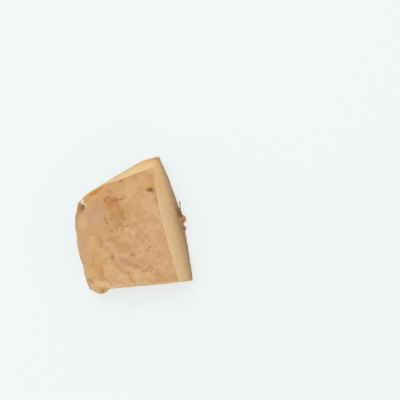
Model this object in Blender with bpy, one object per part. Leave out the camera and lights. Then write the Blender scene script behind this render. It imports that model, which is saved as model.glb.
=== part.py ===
"""A chunk of fresh ginger root, knife-cut from a plump rhizome: one solid that lies on its underside.

+X is to the right, +Y runs towards the narrow end and +Z is up. The origin is under the middle of its box.
Sizes are in millimetres, and the finished mesh is scaled to metres.
"""

import math
from bisect import bisect_right

import bmesh
import bpy
from mathutils import Matrix, Vector, noise

MM = 0.001

# The uncut rhizome every SECTION_STEP along Y: its left side, right side, underside and top.
FIRST_SECTION = -40.0
SECTION_STEP = 10.0
SECTIONS = (
    (-9.0, 22.0, 3.0, 22.0),
    (-18.0, 27.0, 1.2, 25.2),
    (-21.5, 30.5, 0.0, 27.4),
    (-24.1, 32.5, -0.8, 28.6),
    (-25.3, 33.5, -1.0, 28.9),
    (-24.4, 32.0, 0.9, 28.2),
    (-21.2, 30.0, 5.8, 26.2),
    (-15.0, 27.0, 12.0, 22.4),
    (-6.0, 20.0, 15.0, 19.0),
    (2.0, 14.0, 15.5, 17.5),
)
TOP_SQUARENESS = 3.1
UNDERSIDE_SQUARENESS = 2.35
WIDEST_SHARE = 0.47  # of the section's height, where it is widest

# The mesh of the skin.
ROW_STEP = 1.2
FIRST_ROW = -34.0
LAST_ROW = 37.0
COLUMNS = 112
FINER = 6  # points measured for each column, to space the columns equally

# Leaf-scar rings cross the growth axis: the place of each along it, and how deep its crease is.
GROWTH_AXIS = Vector((0.42, 0.91, 0.0)).normalized()
RINGS = ((-25.5, 0.4), (-15.3, 0.45), (-4.9, 0.25), (5.5, 0.3), (14.5, 0.4), (22.5, 0.45))
RING_WIDTH = 1.35
RING_WANDER = 1.5
RING_WANDER_APART = 14.0
SCALE_LIP = 0.5  # of the crease's depth
SCALE_LIP_AWAY = 1.6  # ring widths from the crease
TOP_WEAR = 0.5  # how much fainter the rings are where the skin looks straight up

# Soft lumps: how far apart, and how high.
LUMPS = ((17.0, 0.9), (7.0, 0.35))

# The relief fades away down to the flat spot that the chunk lies on.
FADE_HEIGHT = 3.0

# Oval scar of a broken-off finger, on the top: its middle, half-width, half-length and the height of its rim.
SCAR_MIDDLE = Vector((-6.6, 5.4))
SCAR_HALF = (4.6, 7.6)
SCAR_RIM = 0.35
SCAR_RIM_WIDTH = 0.22
SCAR_SINK = 0.45
SCAR_REACH = 4.0  # below the top of the section, where the scar ends

# Round scars of old roots: a place near each, its radius and its height.
ROOT_SCARS = (
    (Vector((-21.5, -8.0, 5.0)), 1.9, 0.7),
    (Vector((-22.5, 4.0, 6.0)), 1.7, 0.5),
    (Vector((-12.0, -16.0, 1.5)), 2.2, 0.8),
    (Vector((8.0, 9.0, 0.5)), 2.0, 0.6),
    (Vector((-14.0, 13.0, 1.5)), 2.3, 0.9),
    (Vector((13.0, -17.0, 1.0)), 1.9, 0.7),
    (Vector((8.2, 15.5, 26.5)), 1.3, -0.7),
    (Vector((-9.0, -14.5, 27.5)), 1.5, -0.35),
)

# Knife cuts: a point on each flat face and the way the face looks.
KNIFE_CUTS = (
    (Vector((-10.1, 20.2, 12.0)), Vector((-0.519, 0.853, 0.050))),
    (Vector((-22.1, 12.2, 14.0)), Vector((-0.703, 0.708, 0.060))),
    (Vector((8.4, 25.2, 24.6)), Vector((-0.292, 0.891, 0.348))),
    (Vector((14.9, -2.8, 28.5)), Vector((0.927, 0.222, 0.303))),
    (Vector((3.3, -26.0, 27.0)), Vector((0.093, -0.994, 0.066))),
)
MERGE_WITHIN = 0.05

# The side bud at the lower left corner: its axis from root to tip, its half-width and its half-height.
BUD_ROOT = Vector((-14.6, -22.5, 16.0))
BUD_TIP = Vector((-13.0, -30.6, 14.6))
BUD_RADII = (3.4, 4.0, 4.4, 4.7, 4.9, 5.0, 5.0, 4.9, 4.6, 4.1, 3.3, 2.5, 1.6, 0.6)
BUD_HEIGHTS = (4.5, 5.6, 6.4, 7.1, 7.7, 8.1, 8.4, 8.5, 8.3, 7.8, 6.9, 5.5, 3.6, 1.2)
BUD_SQUARENESS = 2.3
BUD_SIDES = 32

# Two stubs and a thread of old roots at the right edge: points along each, and its radius at each.
STUB_POINTS = ((18.6, 2.0, 4.4), (20.6, 2.3, 4.2), (22.0, 2.5, 4.0), (23.0, 2.6, 3.9), (23.8, 2.6, 3.8))
STUB_RADII = (1.8, 2.0, 2.1, 1.9, 1.1)
SMALL_STUB_POINTS = ((20.0, -1.2, 3.4), (21.8, -1.5, 3.0), (23.2, -1.8, 2.8), (23.9, -2.0, 2.7))
SMALL_STUB_RADII = (1.5, 1.7, 1.5, 0.8)
THREAD_POINTS = ((20.2, 3.4, 4.2), (21.3, 5.0, 4.4), (21.3, 7.6, 4.8), (21.0, 11.2, 5.4))
THREAD_RADII = (1.4, 1.1, 0.55, 0.35)
STUB_SIDES = 10

SKIN_COLOUR = (0.612, 0.371, 0.176, 1.0)
FLESH_COLOUR = (0.708, 0.496, 0.262, 1.0)
SKIN_ROUGHNESS = 0.62
FLESH_ROUGHNESS = 0.7
SKIN_SLOT, FLESH_SLOT = 0, 1
SHARP_ANGLE = math.radians(30)


def clear_scene():
    for obj in list(bpy.data.objects):
        bpy.data.objects.remove(obj, do_unlink=True)


def surface_material(name, colour, roughness):
    material = bpy.data.materials.new(name)
    material.use_nodes = True
    shader = material.node_tree.nodes["Principled BSDF"]
    shader.inputs["Base Color"].default_value = colour
    shader.inputs["Roughness"].default_value = roughness
    shader.inputs["Metallic"].default_value = 0.0
    return material


def smooth_between(before, start, end, after, t):
    """A Catmull-Rom curve through start and end."""
    bend = 2 * before - 5 * start + 4 * end - after
    turn = 3 * (start - end) + after - before
    return start + 0.5 * t * (end - before + t * (bend + t * turn))


def section_at(along):
    """Left, right, underside and top of the rhizome at this place along Y."""
    position = (along - FIRST_SECTION) / SECTION_STEP
    i = max(1, min(len(SECTIONS) - 3, math.floor(position)))
    near = SECTIONS[i - 1 : i + 3]
    return [smooth_between(*(row[edge] for row in near), position - i) for edge in range(4)]


def rounded(angle, squareness):
    """Across and up at this angle on a rounded square of half-size 1; at squareness 2 it is a circle."""
    across, up = math.cos(angle), math.sin(angle)
    reach = (abs(across) ** squareness + abs(up) ** squareness) ** (-1 / squareness)
    return across * reach, up * reach


def section_point(edges, angle):
    """A point on the rounded section: angle 0 is its right side, and a quarter turn its top."""
    left, right, underside, top = edges
    across, up = rounded(angle, TOP_SQUARENESS if math.sin(angle) > 0 else UNDERSIDE_SQUARENESS)
    middle = underside + WIDEST_SHARE * (top - underside)
    height = (top - middle) if up > 0 else (middle - underside)
    return (left + right) / 2 + (right - left) / 2 * across, middle + height * up


def section_loop(along):
    """COLUMNS points round the section, equally far apart, from its left side over the top."""
    fine = FINER * COLUMNS
    edges = section_at(along)
    points = [section_point(edges, math.pi - 2 * math.pi * i / fine) for i in range(fine + 1)]
    lengths = [0.0]
    for a, b in zip(points, points[1:]):
        lengths.append(lengths[-1] + math.dist(a, b))
    loop = []
    for column in range(COLUMNS):
        wanted = lengths[-1] * column / COLUMNS
        i = bisect_right(lengths, wanted) - 1
        share = (wanted - lengths[i]) / (lengths[i + 1] - lengths[i])
        x, z = (a + share * (b - a) for a, b in zip(points[i], points[i + 1]))
        loop.append(Vector((x, along, z)))
    return loop


def lump_relief(point):
    return sum(height * noise.noise(point / apart) for apart, height in LUMPS)


def ring_relief(point):
    """A crease at each ring, with a low lip of old leaf scale along its near side."""
    place = point.dot(GROWTH_AXIS) + RING_WANDER * noise.noise(point / RING_WANDER_APART)
    relief = 0.0
    for ring_place, depth in RINGS:
        away = (place - ring_place) / RING_WIDTH
        relief -= depth * math.exp(-(away**2))
        relief += depth * SCALE_LIP * math.exp(-((away + SCALE_LIP_AWAY) ** 2))
    return relief


def scar_relief(point):
    """A raised rim round a shallow oval, on the top only."""
    if point.z < section_at(point.y)[3] - SCAR_REACH:
        return 0.0
    away = math.hypot((point.x - SCAR_MIDDLE.x) / SCAR_HALF[0], (point.y - SCAR_MIDDLE.y) / SCAR_HALF[1])
    rim = SCAR_RIM * math.exp(-(((away - 1) / SCAR_RIM_WIDTH) ** 2))
    sink = SCAR_SINK * max(0.0, 1 - away**2)
    return rim - sink


def root_scar_relief(point):
    """Low round warts, or dents where the height is negative."""
    relief = 0.0
    for middle, radius, height in ROOT_SCARS:
        away = (point - middle).length / radius
        relief += height * math.exp(-(away**4))
    return relief


def rhizome():
    """The uncut rhizome as a closed skin of quads, with its relief."""
    bm = bmesh.new()
    rows = round((LAST_ROW - FIRST_ROW) / ROW_STEP)
    places = [FIRST_ROW + ROW_STEP * row for row in range(rows + 1)]
    loops = [[bm.verts.new(point) for point in section_loop(place)] for place in places]
    for near, far in zip(loops, loops[1:]):
        for i in range(COLUMNS):
            after = (i + 1) % COLUMNS
            bm.faces.new((near[i], far[i], far[after], near[after]))
    bm.faces.new(loops[0])
    bm.faces.new(reversed(loops[-1]))
    bmesh.ops.recalc_face_normals(bm, faces=bm.faces[:])
    bm.normal_update()
    for vert in bm.verts:
        point = vert.co.copy()
        rings = ring_relief(point) * (1 - TOP_WEAR * max(0.0, vert.normal.z))
        relief = rings + lump_relief(point) + scar_relief(point) + root_scar_relief(point)
        vert.co += vert.normal * relief * min(1.0, max(0.0, point.z / FADE_HEIGHT))
    return bm


def flat_cut(bm, point, facing, slot):
    """Takes away what lies beyond a plane and closes the cut with one flat face."""
    facing = facing.normalized()
    everything = bm.verts[:] + bm.edges[:] + bm.faces[:]
    bmesh.ops.bisect_plane(
        bm, geom=everything, dist=MERGE_WITHIN, plane_co=point, plane_no=facing, clear_outer=True
    )
    bmesh.ops.remove_doubles(bm, verts=[vert for vert in bm.verts if vert.is_boundary], dist=MERGE_WITHIN)
    for vert in bm.verts:
        if vert.is_boundary:
            vert.co -= facing * (vert.co - point).dot(facing)
    filled = bmesh.ops.edgeloop_fill(bm, edges=[edge for edge in bm.edges if edge.is_boundary])
    for face in filled["faces"]:
        face.material_index = slot


def tube(name, points, radii, heights, sides, squareness=2.0):
    """A closed solid along some points, with a half-width and a half-height at each."""
    bm = bmesh.new()
    points = [Vector(point) for point in points]
    corners = [rounded(2 * math.pi * k / sides, squareness) for k in range(sides)]
    loops = []
    for i, (point, radius, height) in enumerate(zip(points, radii, heights)):
        heading = points[min(i + 1, len(points) - 1)] - points[max(i - 1, 0)]
        side = heading.cross(Vector((0, 0, 1))).normalized() * radius
        up = side.cross(heading).normalized() * height
        loops.append([bm.verts.new(point + side * x + up * z) for x, z in corners])
    for near, far in zip(loops, loops[1:]):
        for k in range(sides):
            after = (k + 1) % sides
            bm.faces.new((near[k], near[after], far[after], far[k]))
    bm.faces.new(reversed(loops[0]))
    bm.faces.new(loops[-1])
    bmesh.ops.recalc_face_normals(bm, faces=bm.faces[:])
    return add_object(name, bm)


def side_bud():
    """A blunt bud with creased rings."""
    steps = len(BUD_RADII) - 1
    points = [BUD_ROOT.lerp(BUD_TIP, i / steps) for i in range(steps + 1)]
    return tube("side_bud", points, BUD_RADII, BUD_HEIGHTS, BUD_SIDES, BUD_SQUARENESS)


def old_roots():
    return [
        tube("root_stub", STUB_POINTS, STUB_RADII, STUB_RADII, STUB_SIDES),
        tube("small_root_stub", SMALL_STUB_POINTS, SMALL_STUB_RADII, SMALL_STUB_RADII, STUB_SIDES),
        tube("root_thread", THREAD_POINTS, THREAD_RADII, THREAD_RADII, STUB_SIDES),
    ]


def add_object(name, bm):
    mesh = bpy.data.meshes.new(name)
    bm.to_mesh(mesh)
    bm.free()
    obj = bpy.data.objects.new(name, mesh)
    bpy.context.scene.collection.objects.link(obj)
    return obj


def join_into(body, pieces):
    """Makes the pieces part of the body with one Boolean union, and removes them."""
    group = bpy.data.collections.new("grown_on")
    bpy.context.scene.collection.children.link(group)
    for piece in pieces:
        bpy.context.scene.collection.objects.unlink(piece)
        group.objects.link(piece)
    union = body.modifiers.new("grown_on", "BOOLEAN")
    union.operation = "UNION"
    union.operand_type = "COLLECTION"
    union.collection = group
    bpy.context.view_layer.update()
    joined = bpy.data.meshes.new_from_object(body.evaluated_get(bpy.context.evaluated_depsgraph_get()))
    body.modifiers.remove(union)
    body.data = joined
    for piece in pieces:
        bpy.data.objects.remove(piece, do_unlink=True)
    bpy.data.collections.remove(group)


def stand_on_origin(mesh):
    """Puts the middle of the box over the origin and its lowest face at height 0, and scales it to metres."""
    corners = [[vert.co[axis] for vert in mesh.vertices] for axis in range(3)]
    middle = Vector([(min(values) + max(values)) / 2 for values in corners])
    middle.z = min(corners[2])
    mesh.transform(Matrix.Scale(MM, 4) @ Matrix.Translation(-middle))


def ginger_root():
    bm = rhizome()
    for point, facing in KNIFE_CUTS:
        flat_cut(bm, point, facing, FLESH_SLOT)
    flat_cut(bm, Vector((0, 0, 0)), Vector((0, 0, -1)), SKIN_SLOT)
    body = add_object("ginger_root", bm)
    body.data.materials.append(surface_material("ginger_skin", SKIN_COLOUR, SKIN_ROUGHNESS))
    body.data.materials.append(surface_material("ginger_flesh", FLESH_COLOUR, FLESH_ROUGHNESS))
    join_into(body, [side_bud(), *old_roots()])
    stand_on_origin(body.data)
    body.data.shade_smooth()
    body.data.set_sharp_from_angle(angle=SHARP_ANGLE)
    return body


clear_scene()
ginger_root()
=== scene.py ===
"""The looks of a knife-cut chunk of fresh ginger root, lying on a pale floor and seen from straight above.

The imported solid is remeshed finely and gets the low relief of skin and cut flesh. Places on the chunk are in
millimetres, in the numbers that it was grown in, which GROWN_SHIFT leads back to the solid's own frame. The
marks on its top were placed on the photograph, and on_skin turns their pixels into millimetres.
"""

import math

import bpy
import numpy as np
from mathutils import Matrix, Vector, noise
from mathutils.bvhtree import BVHTree


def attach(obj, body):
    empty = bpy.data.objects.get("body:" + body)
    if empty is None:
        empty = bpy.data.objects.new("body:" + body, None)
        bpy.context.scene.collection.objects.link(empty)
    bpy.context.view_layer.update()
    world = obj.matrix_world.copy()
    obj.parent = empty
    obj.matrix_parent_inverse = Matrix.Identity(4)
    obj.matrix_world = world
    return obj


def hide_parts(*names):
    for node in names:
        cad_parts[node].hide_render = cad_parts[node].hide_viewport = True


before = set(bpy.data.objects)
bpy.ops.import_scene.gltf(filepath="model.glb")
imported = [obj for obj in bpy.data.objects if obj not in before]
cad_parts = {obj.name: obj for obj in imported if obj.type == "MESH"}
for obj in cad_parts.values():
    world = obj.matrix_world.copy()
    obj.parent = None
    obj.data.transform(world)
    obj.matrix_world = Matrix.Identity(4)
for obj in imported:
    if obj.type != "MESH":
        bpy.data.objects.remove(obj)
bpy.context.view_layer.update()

MM = 0.001
GROWN_SHIFT = np.array((0.739, 0.115, 0.0))
GROWTH_AXIS = Vector((0.42, 0.91, 0.0)).normalized()
ACROSS_AXIS = Vector((0.91, -0.42, 0.0)).normalized()

# The photograph: straight down, with this much of the ground across it, at a middle height of the chunk.
CAMERA_HEIGHT = 1.0
CLIP_START = 0.01
FRAME_WIDTH = 0.1784
FRAME_LEVEL = 0.015
FRAME_MIDDLE = (0.02947, 0.01113)
SENSOR = 36.0

# Where a pixel of the photograph lies on the top of the skin, in millimetres.
PIXEL = 0.4403
MIDDLE_PIXEL = 200
MIDDLE_PLACE = (30.5, 11.3)

# The floor and the light, in metres and watts.
FLOOR_HALF = 3.0
FLOOR_ROUGHNESS = 0.9
FLOOR_DIFFUSE = 0.36
FLOOR_GLOW = 0.665
SKY = 0.68
SKY_WHITE = (1.0, 1.0, 1.0, 1.0)
LAMP_PLACE = (-0.25, 0.25, 1.1)
LAMP_AIM = (0.0, 0.0, 0.0)
LAMP_SIZE = 0.8
LAMP_POWER = 4.6

# The fine mesh.
WELD = 0.01
VOXEL = 0.34
SMOOTH_ROUNDS = 36
SMOOTH_SHARE = 0.5
EDGE_KEPT = (0.2, 0.9)  # within this of a knife edge the surface is smoothed less
EDGE_SMOOTHING = 0.12
ROOT_SMOOTHING = 0.1
LIFTED = (0.0, 0.5)  # the flat spot that the chunk lies on isn't smoothed
RELIEF_STARTS = (0.0, 1.2)  # nor does it get relief

# The way each knife cut faces, and how well a triangle has to agree.
RIGHT_CUT = (0.927, 0.222, 0.303)
CUT_FACINGS = (
    (-0.519, 0.853, 0.050),
    (-0.703, 0.708, 0.060),
    (-0.292, 0.891, 0.348),
    RIGHT_CUT,
    (0.093, -0.994, 0.066),
)
CUT_AGREES = 0.9997
CUT_WITHIN = 0.12
CUT_SEARCHED = 5  # the first look for a cut's plane reaches this many times further
CUT_LEANS = 0.9  # a sliver in a flat face may lean so far
LEAST_AREA = 1e-12

# Leaf-scar rings: the place of each along the growth axis, and how strong it is. Here and below, a grain says
# how long the noise is along the growth axis, how wide it is across it, and its offset.
RINGS = ((-25.5, 0.9), (-15.3, 1.0), (-4.9, 0.4), (5.5, 0.45), (14.5, 0.7), (22.5, 0.8))
RING_WANDER = 1.5
RING_WANDER_APART = 14.0
FINE_WANDER = 0.5
FINE_WANDER_GRAIN = (3.0, 3.0)
RING_LINES = ((1.0, 0.0, 0.38), (0.4, 1.5, 0.3), (0.3, -1.9, 0.3))  # strength, place and width of each crease
FRINGE_RISES = (-3.0, -0.3)
FRINGE_ENDS = (-0.3, 0.0)
RING_WHOLE = 0.6
RING_BROKEN = 0.9
RING_BROKEN_GRAIN = (5.0, 5.0, 7.3)
RING_WORN_ON_TOP = 0.75

# The side bud, where it stands out of the front cut, and the creases of its scales round its axis.
BUD_ROOT = np.array((-14.6, -22.5, 16.0))
BUD_TIP = np.array((-13.0, -30.6, 14.6))
BUD_STARTS = -27.6
BUD_FADE = 1.0
BUD_RIGHT = -6.0
BUD_CREASES = ((1.5, 0.25), (3.0, 0.3), (4.4, 0.3))  # radius and width of each
BUD_WANDER = 1.3
BUD_WANDER_GRAIN = (3.5, 3.5, 11.1)
BUD_WHOLE = 0.5
BUD_BROKEN = 1.3
BUD_BROKEN_GRAIN = (2.6, 2.6, 17.7)
BUD_CREASE_SHARE = 0.8
BUD_WORN_ON_TOP = 0.8

# Old roots at the right edge: the middle and the radius of balls that hold the two stubs and the thread.
ROOT_STUBS = (
    (22.6, 2.5, 4.0, 2.2),
    (22.8, -1.7, 2.9, 1.8),
    (20.6, 3.8, 4.3, 1.5),
    (21.3, 5.2, 4.4, 1.2),
    (21.2, 8.0, 4.9, 0.9),
    (21.0, 10.6, 5.3, 0.9),
)
ROOT_FADE = 0.6

# Low relief of the skin.
WRINKLE_DEPTH = 0.10
WRINKLE_GRAIN = (4.5, 1.2, 1.7)
WRINKLE_SHARPNESS = 7
CRACK_DEPTH = 0.07
CRACK_GRAIN = (0.9, 4.0, 5.9)
CRACK_SHARPNESS = 8
LUMP_HEIGHT = 0.12
LUMP_GRAIN = (3.0, 2.0, 3.3)
PIMPLE_HEIGHT = 0.06
PIMPLE_GRAIN = (1.0, 0.9, 8.8)
FRINGE_HEIGHT = 0.14
CREASE_DEPTH = 0.12
ROOT_KNOTS = 0.12
ROOT_KNOT_GRAIN = (0.9, 0.9, 6.2)
RAISED_HEIGHT = 0.08
SUNK_DEPTH = 0.14
LIGHT_MARKS = (1.05, 1.3)  # a mark whose channels add up to more than this is raised
DARK_MARKS = (1.05, 0.55)
PIT_MIDDLE = (8.2, 15.8)
PIT_HALF = (1.2, 0.5)
PIT_DEPTH = 0.8
PIT_ABOVE = 20

# Low relief of the cut flesh.
FLESH_SINKS = 0.18
FLESH_SINKS_WITHIN = (0.0, 7.0)
FIBRE_HEIGHT = 0.05
FIBRE_GRAIN = (6.0, 0.8, 2.2)
WAVE_HEIGHT = 0.10
WAVE_GRAIN = (7.0, 3.0, 5.5)
RIND_GROOVE = 0.04
RIND_LINE_AT = 2.7
RIND_GROOVE_HALF = 0.25
FLESH_STARTS = (-0.1, 0.35)

# How the marks' edges run: each fades out between these shares of its half-width, and wavers.
SPOT_FADES = (0.45, 1.6)
STROKE_FADES = (0.2, 2.4)
SIDE_FADES = (0.5, 1.6)
APEX_FADES = (0.0, 1.8)
SWELL = 0.8
SWELL_GRAIN = (1.4, 1.4, 13.3)
WAVER_SIZE = 1.7
FINE_WAVER_SIZE = 0.7
FINE_WAVER = 0.5
WAVER_OFFSETS = (4.4, 9.7)
FLAT_WAVER = 0.6
SIDE_WAVER = 0.5
APEX_WAVER = 1.4
APEX_PATCHY = (0.8, 0.9)
APEX_PATCHY_GRAIN = (5.0, 1.6, 15.9)
LEAST_COVER = 1e-6

# How squarely a surface has to face up, to the left, or the way of the right cut, to count as doing so.
FACES_UP = (-0.1, 0.3)
IS_TOP = (0.25, 0.7)
FACES_LEFT = (0.25, 0.75)
IS_RIGHT_CUT = (0.75, 0.95)


def srgb(red, green, blue):
    """A colour as a screen shows it, 0 to 255, in linear light."""
    parts = [value / 255 for value in (red, green, blue)]
    return tuple(v / 12.92 if v <= 0.04045 else ((v + 0.055) / 1.055) ** 2.4 for v in parts) + (1.0,)


SKIN_TAN = srgb(214, 169, 118)
SKIN_LIGHT = srgb(226, 185, 134)
SKIN_DARK = srgb(196, 149, 97)
SKIN_YELLOW = srgb(209, 167, 108)
SKIN_PINK = srgb(214, 167, 128)
RING_BROWN = srgb(178, 128, 80)
FRINGE = srgb(226, 190, 146)
SPECK = srgb(160, 120, 76)
ROOT_TAN = srgb(200, 156, 102)
ROOT_DARK = srgb(158, 116, 76)
FLESH_CREAM = srgb(250, 211, 154)
FLESH_YELLOW = srgb(234, 190, 134)
FLESH_DEEP = srgb(222, 173, 116)
FLESH_SHADED_AND_DRIED = srgb(204, 157, 103)
FLESH_AGED_AND_SHADED = srgb(154, 113, 72)
FLESH_PEACH = srgb(246, 204, 158)
FLESH_CORE = srgb(231, 187, 126)
FIBRE_LIGHT = srgb(240, 208, 158)
FIBRE_DARK = srgb(204, 156, 104)
FLOOR = srgb(240, 246, 246)

RUST = srgb(178, 118, 60)
AMBER = srgb(189, 137, 70)
UMBER = srgb(182, 137, 88)
OLIVE = srgb(188, 145, 86)
ORANGE = srgb(208, 152, 90)
GOLD = srgb(217, 171, 104)
MAUVE = srgb(200, 152, 112)
PINK = srgb(206, 158, 124)
CREAM = srgb(226, 186, 136)
SCUFF = srgb(216, 176, 137)
GREY_PINK = srgb(200, 160, 120)
DOT = srgb(152, 112, 74)
PIT = srgb(84, 40, 14)
SCAR = srgb(188, 138, 73)
DRIED = srgb(192, 126, 40)
NEAR_WHITE = srgb(242, 233, 218)
BISTRE = srgb(198, 148, 96)
CORNER_BROWN = srgb(178, 128, 88)
CORNER_BROWN_EDGE = srgb(190, 144, 104)
CORNER_BROWN_DARK = srgb(138, 92, 62)
ROOT_GREY_AND_SHADE = srgb(160, 126, 92)
ROOT_UMBER_AND_SHADE = srgb(140, 102, 72)
ROOT_BROWN = srgb(128, 90, 60)
ROOT_BUFF = srgb(160, 124, 84)
RIM_GOLD = srgb(208, 150, 60)
RIM_AMBER = srgb(204, 144, 52)
APEX_ORANGE = srgb(247, 187, 84)
APEX_HONEY = srgb(243, 187, 102)
APEX_TAN = srgb(222, 172, 112)
APEX_CREAM = srgb(246, 213, 148)
APEX_BUFF = srgb(244, 206, 140)
APEX_LOW = srgb(222, 178, 110)
APEX_SHADOW_BROWN = srgb(190, 146, 90)

# Strokes on the skin as it lies: colour, how much it covers, half-width, and points along it. The half-width
# and the (column, row) of each point are in the photograph's pixels.
STROKES = {
    "rusty hook of the scar": (
        RUST, 0.75, 1.0,
        ((104.8, 199.5), (106.5, 197.3), (109, 197.2), (111.5, 199.5), (114, 201.5), (116, 203.3)),
    ),
    "rusty bar of the scar": (RUST, 0.62, 0.81, ((112, 199.5), (117, 199.3), (122.5, 199.6))),
    "short tail of the hook": (RUST, 0.69, 0.81, ((104.6, 199.5), (105, 202))),
    "rusty dab in the scar": (RUST, 0.56, 1.53, ((107, 203.5), (111, 206))),
    "amber streak in the scar": (AMBER, 0.6, 1.2, ((117, 206), (116.6, 211))),
    "amber right edge of the scar": (AMBER, 0.9, 0.9, ((119.5, 208), (121, 209.5), (121, 213.5))),
    "amber right corner of the scar": (AMBER, 0.55, 1.4, ((121, 211), (123.4, 212.5), (122.3, 216))),
    "brown line in the scar": (UMBER, 0.51, 1.19, ((113, 212), (114, 215))),
    "rusty left edge of the scar": (RUST, 0.75, 0.9, ((104.6, 218), (104.9, 221.5), (107.5, 222.8))),
    "brown lower edge of the scar": (UMBER, 0.69, 1.08, ((107.5, 219.5), (109.5, 217.8), (111.3, 216.8))),
    "olive band under the scar": (OLIVE, 0.69, 2.81, ((115, 218), (116.5, 222), (117, 226))),
    "brown foot of the olive band": (UMBER, 0.58, 1.3, ((115.8, 227), (118.8, 225))),
    "brown tail of the scar": (UMBER, 0.69, 1.08, ((120, 225.3), (123, 226.6), (126, 226.2), (128.5, 225.2))),
    "rusty drop under the tail": (RUST, 0.44, 0.81, ((120.8, 229), (120.8, 231))),
    "rusty dash above the scar": (RUST, 0.5, 1.17, ((106.5, 191), (109, 192.3))),
    "rusty dash right of the scar": (RUST, 0.5, 1.35, ((121, 216.5), (123, 219.5))),
    "rusty line under the pit": (RUST, 0.5, 0.9, ((153.5, 191.5), (155.2, 195), (156, 199), (156.4, 203.5))),
    "mauve band at the apex": (MAUVE, 0.5, 2.6, ((140, 173), (145, 175.5), (150.5, 173))),
    "orange band above the pit": (ORANGE, 0.7, 2.2, ((149, 178), (151.5, 182), (151, 187))),
    "orange band on the upper edge": (ORANGE, 0.6, 3.0, ((113, 180.5), (118, 179), (124, 177.5), (134, 176))),
    "rusty dash on the upper edge": (RUST, 0.56, 0.9, ((118.8, 182.6), (120.6, 181.8))),
    "mauve band on the left": (MAUVE, 0.45, 2.0, ((84, 214), (88, 218.5), (90.5, 222.5), (92, 227))),
    "upper half of the scuff": (SCUFF, 0.6, 2.2, ((106.5, 242.5), (111.5, 246), (115, 251.5), (116, 257))),
    "lower half of the scuff": (SCUFF, 0.6, 1.9, ((116, 257), (118.5, 261.5), (121, 265.5), (122, 268))),
    "pink end of the scuff": (PINK, 0.75, 3.0, ((121.5, 262.5), (125, 267), (127, 268))),
    "brown right edge of the scuff": (UMBER, 0.51, 1.3, ((120.5, 260.8), (124, 260.6), (127.5, 263))),
    "brown left edge of the scuff": (UMBER, 0.5, 0.9, ((116.5, 264.5), (118.2, 267.5), (120, 270))),
    "start of the lower crease": (OLIVE, 0.7, 0.9, ((121, 272), (124, 272.8), (126.5, 272.2))),
    "wave of the lower crease": (
        UMBER, 0.6, 0.8,
        ((128, 266.2), (131.5, 264.8), (135, 265.8), (138.5, 266.4), (141, 268.6)),
    ),
    "dark stretch of the lower crease": (UMBER, 0.85, 0.9, ((141, 270.8), (143, 271.4), (145, 271))),
    "faint stretch of the lower crease": (UMBER, 0.45, 0.8, ((145, 270.6), (148, 269.4), (151, 270.8))),
    "end of the lower crease": (
        UMBER, 0.45, 0.8,
        ((149, 266.2), (151.2, 268.2), (154.5, 269.6), (157, 271.4)),
    ),
    "brown dash at the lower right": (UMBER, 0.46, 1.3, ((155, 274.5), (158.5, 274))),
    "light band by the lower crease": (CREAM, 0.6, 1.9, ((128.5, 268.8), (131.5, 271), (135.5, 271.6))),
    "light patch left of the front crease": (CREAM, 0.4, 3.2, ((121, 277.5), (124, 281))),
    "light patch right of the front crease": (CREAM, 0.35, 3.4, ((136, 277.5), (143, 278), (150, 277.5))),
    "front crease": (
        OLIVE, 0.65, 0.9,
        ((128.4, 272.5), (128.6, 276.5), (130.5, 279.4), (132.8, 281.6), (133.6, 284)),
    ),
    "amber foot of the front crease": (AMBER, 0.5, 1.5, ((130, 283.3), (133.5, 284))),
    "orange band above the bud": (ORANGE, 0.7, 2.4, ((98.5, 266), (99.6, 271), (99.6, 275), (101, 278))),
    "crease right of the bud": (
        OLIVE, 0.65, 0.9,
        ((102, 275.8), (104, 276.8), (105.8, 280), (108, 282.4), (110.5, 284.6)),
    ),
    "crease across the bud's root": (OLIVE, 0.69, 0.86, ((97, 280.4), (100.5, 280.7), (103.5, 280.3))),
    "rusty corner left of the bud": (RUST, 0.62, 1.17, ((88.3, 280.8), (91.5, 283), (94.6, 286.4))),
    "light band on the bud": (CREAM, 0.85, 2.6, ((96, 283.8), (101.5, 284.4), (106.5, 286.6))),
    "crease on the bud": (OLIVE, 0.4, 0.7, ((96, 288.6), (99.5, 288.4), (103.5, 288.2))),
    "rusty line on the bud": (RUST, 0.45, 0.8, ((99, 290.2), (101.8, 290), (103.8, 290.4))),
    "orange part of the front edge": (ORANGE, 0.6, 1.3, ((152, 282.6), (158, 281.4), (164, 280.6))),
    "light part of the front edge": (CREAM, 0.85, 1.3, ((110, 287), (128, 285.4), (150, 283.2))),
    # a near-white streak at the left corner
    "near-white streak at the left corner": (NEAR_WHITE, 1.0, 0.85, ((79.8, 199.4), (81.2, 202.6), (83.2, 206))),
    "dried streak on the upper left edge": (
        DRIED, 0.95, 1.15,
        ((89.5, 195.4), (92, 193.8), (95.5, 191.2), (98.5, 189.2), (101, 187.4)),
    ),
    "orange start of the dried streak": (ORANGE, 0.6, 1.3, ((84, 199), (88, 197))),
    "orange end of the dried streak": (ORANGE, 0.5, 1.3, ((101.5, 187.5), (104.5, 187))),
    "amber line on the lower left": (AMBER, 0.4, 1.2, ((92, 255), (92.6, 262), (92.2, 268))),
    "amber line above the bud": (AMBER, 0.45, 1.0, ((99.2, 269), (100.5, 275), (103.4, 279))),
    "faint dash on the lower left": (OLIVE, 0.22, 1.3, ((91, 254.8), (95.5, 255))),
    "first dash of the middle ring": (OLIVE, 0.4, 1.73, ((95.5, 239.3), (99, 239.3))),
    "second dash of the middle ring": (OLIVE, 0.58, 1.84, ((100, 242), (101.2, 246))),
    "third dash of the middle ring": (OLIVE, 0.64, 1.3, ((107, 240), (111.5, 239.4))),
    "rusty dash of the middle ring": (RUST, 0.26, 1.8, ((113, 240.5), (117, 238))),
    "fourth dash of the middle ring": (OLIVE, 0.46, 1.62, ((114.5, 242.5), (117.5, 244.2))),
    "fifth dash of the middle ring": (OLIVE, 0.51, 1.62, ((125, 243.6), (127.5, 248.5))),
}

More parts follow.
